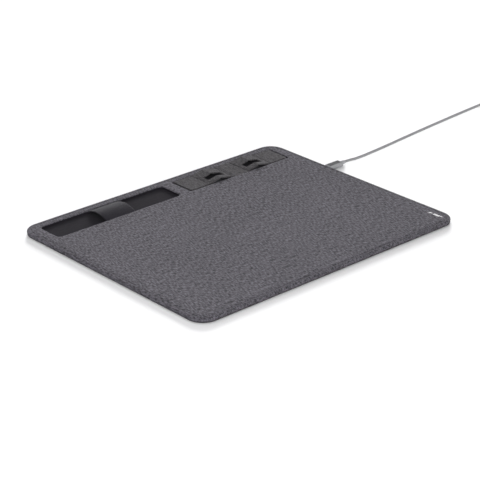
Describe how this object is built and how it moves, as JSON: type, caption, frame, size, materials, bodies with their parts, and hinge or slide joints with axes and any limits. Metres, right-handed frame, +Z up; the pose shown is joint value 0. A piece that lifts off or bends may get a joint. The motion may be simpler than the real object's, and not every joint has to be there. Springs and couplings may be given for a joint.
{
  "type": "wireless charging desk mat",
  "caption": "Fabric desk mat with a built-in wireless phone charger, a lined pen tray with an elastic strap, a fold-up phone stand and a USB cable.",
  "frame": {"origin": "middle of the mat's footprint, on the surface it rests on", "axes": "+X along the long edge towards the USB port, +Y towards the tray and the stand, +Z up"},
  "size_m": [0.6851, 0.28, 0.0089],
  "materials": {
    "heather_fabric": "dark grey heather woven fabric, matt",
    "stand_fabric": "dark grey smooth woven fabric over board",
    "lining": "black knitted lining, matt",
    "elastic": "charcoal ribbed elastic webbing",
    "base_rubber": "black anti-slip rubber, fine dimples",
    "foam": "dense black foam",
    "board": "pressed grey board",
    "steel": "nickel-plated steel",
    "black_plastic": "black moulded plastic, fine texture",
    "ferrite": "dark ferrite",
    "copper": "enamelled copper wire",
    "circuit": "green solder mask",
    "chip": "black moulded chip package",
    "ceramic": "tan ceramic",
    "plug_plastic": "grey moulded plastic, satin",
    "cable_jacket": "mid-grey soft plastic jacket",
    "tie_fabric": "black hook-and-loop tape"
  },
  "bodies": {
    "mat": {"base_sheet": "base_rubber", "capacitor_1": "ceramic", "capacitor_2": "ceramic", "capacitor_3": "ceramic", "charging_coil": "copper", "circuit_board": "circuit", "coil_carrier": "black_plastic", "coil_lead_1": "copper", "coil_lead_2": "copper", "coil_lid": "black_plastic", "control_chip": "chip", "core_board": "foam", "elastic_strap": "elastic", "ferrite_sheet": "ferrite", "housing_lower": "black_plastic", "housing_upper": "black_plastic", "inductor": "ferrite", "left_keeper": "steel", "power_chip": "chip", "right_keeper": "steel", "socket_shell": "steel", "socket_tongue": "black_plastic", "stand_centre_board": "board", "stand_centre_cover": "stand_fabric", "stand_liner": "lining", "top_cover": "heather_fabric", "tray_liner": "lining"},
    "left_inner": {"left_inner_cover": "stand_fabric", "left_inner_board": "board"},
    "left_outer": {"left_outer_cover": "stand_fabric", "left_outer_board": "board"},
    "left_end": {"left_end_cover": "stand_fabric", "left_end_board": "board", "left_magnet_1": "steel", "left_magnet_2": "steel"},
    "right_inner": {"right_inner_cover": "stand_fabric", "right_inner_board": "board"},
    "right_outer": {"right_outer_cover": "stand_fabric", "right_outer_board": "board"},
    "right_end": {"right_end_cover": "stand_fabric", "right_end_board": "board", "right_magnet_1": "steel", "right_magnet_2": "steel"},
    "usb_plug": {"usb_c_plug": "steel", "usb_c_overmould": "plug_plastic", "strain_relief": "plug_plastic", "usb_cable": "cable_jacket", "cable_coil": "cable_jacket", "coil_tie": "tie_fabric", "cable_tail": "cable_jacket", "usb_a_relief": "plug_plastic", "usb_a_overmould": "plug_plastic", "usb_a_plug": "steel", "usb_a_insert": "black_plastic"}
  },
  "joints": [
    {"name": "left_base_fold", "type": "hinge", "parent": "mat", "child": "left_inner", "pos_m": [0.0777, 0.113, 0.0039], "axis": [0, 1, 0], "range_deg": [-10.5, 44.5]},
    {"name": "left_crest_fold", "type": "hinge", "parent": "left_inner", "child": "left_outer", "pos_m": [0.06078, 0.113, 0.00866], "axis": [0, 1, 0], "range_deg": [-89, 21]},
    {"name": "left_end_fold", "type": "hinge", "parent": "left_outer", "child": "left_end", "pos_m": [0.04387, 0.113, 0.0039], "axis": [0, 1, 0], "range_deg": [-10.5, 44.5]},
    {"name": "right_base_fold", "type": "hinge", "parent": "mat", "child": "right_inner", "pos_m": [0.0995, 0.113, 0.0039], "axis": [0, -1, 0], "range_deg": [-10.5, 44.5]},
    {"name": "right_crest_fold", "type": "hinge", "parent": "right_inner", "child": "right_outer", "pos_m": [0.11642, 0.113, 0.00866], "axis": [0, -1, 0], "range_deg": [-89, 21]},
    {"name": "right_end_fold", "type": "hinge", "parent": "right_outer", "child": "right_end", "pos_m": [0.13333, 0.113, 0.0039], "axis": [0, -1, 0], "range_deg": [-10.5, 44.5]},
    {"name": "plug_slide", "type": "slide", "parent": "mat", "child": "usb_plug", "axis": [1, 0, 0], "range_m": [0, 0.009]}
  ],
  "couplings": [
    {"joint": "left_crest_fold", "follows": "left_base_fold", "ratio": -2},
    {"joint": "left_end_fold", "follows": "left_base_fold", "ratio": 1},
    {"joint": "right_crest_fold", "follows": "right_base_fold", "ratio": -2},
    {"joint": "right_end_fold", "follows": "right_base_fold", "ratio": 1}
  ]
}
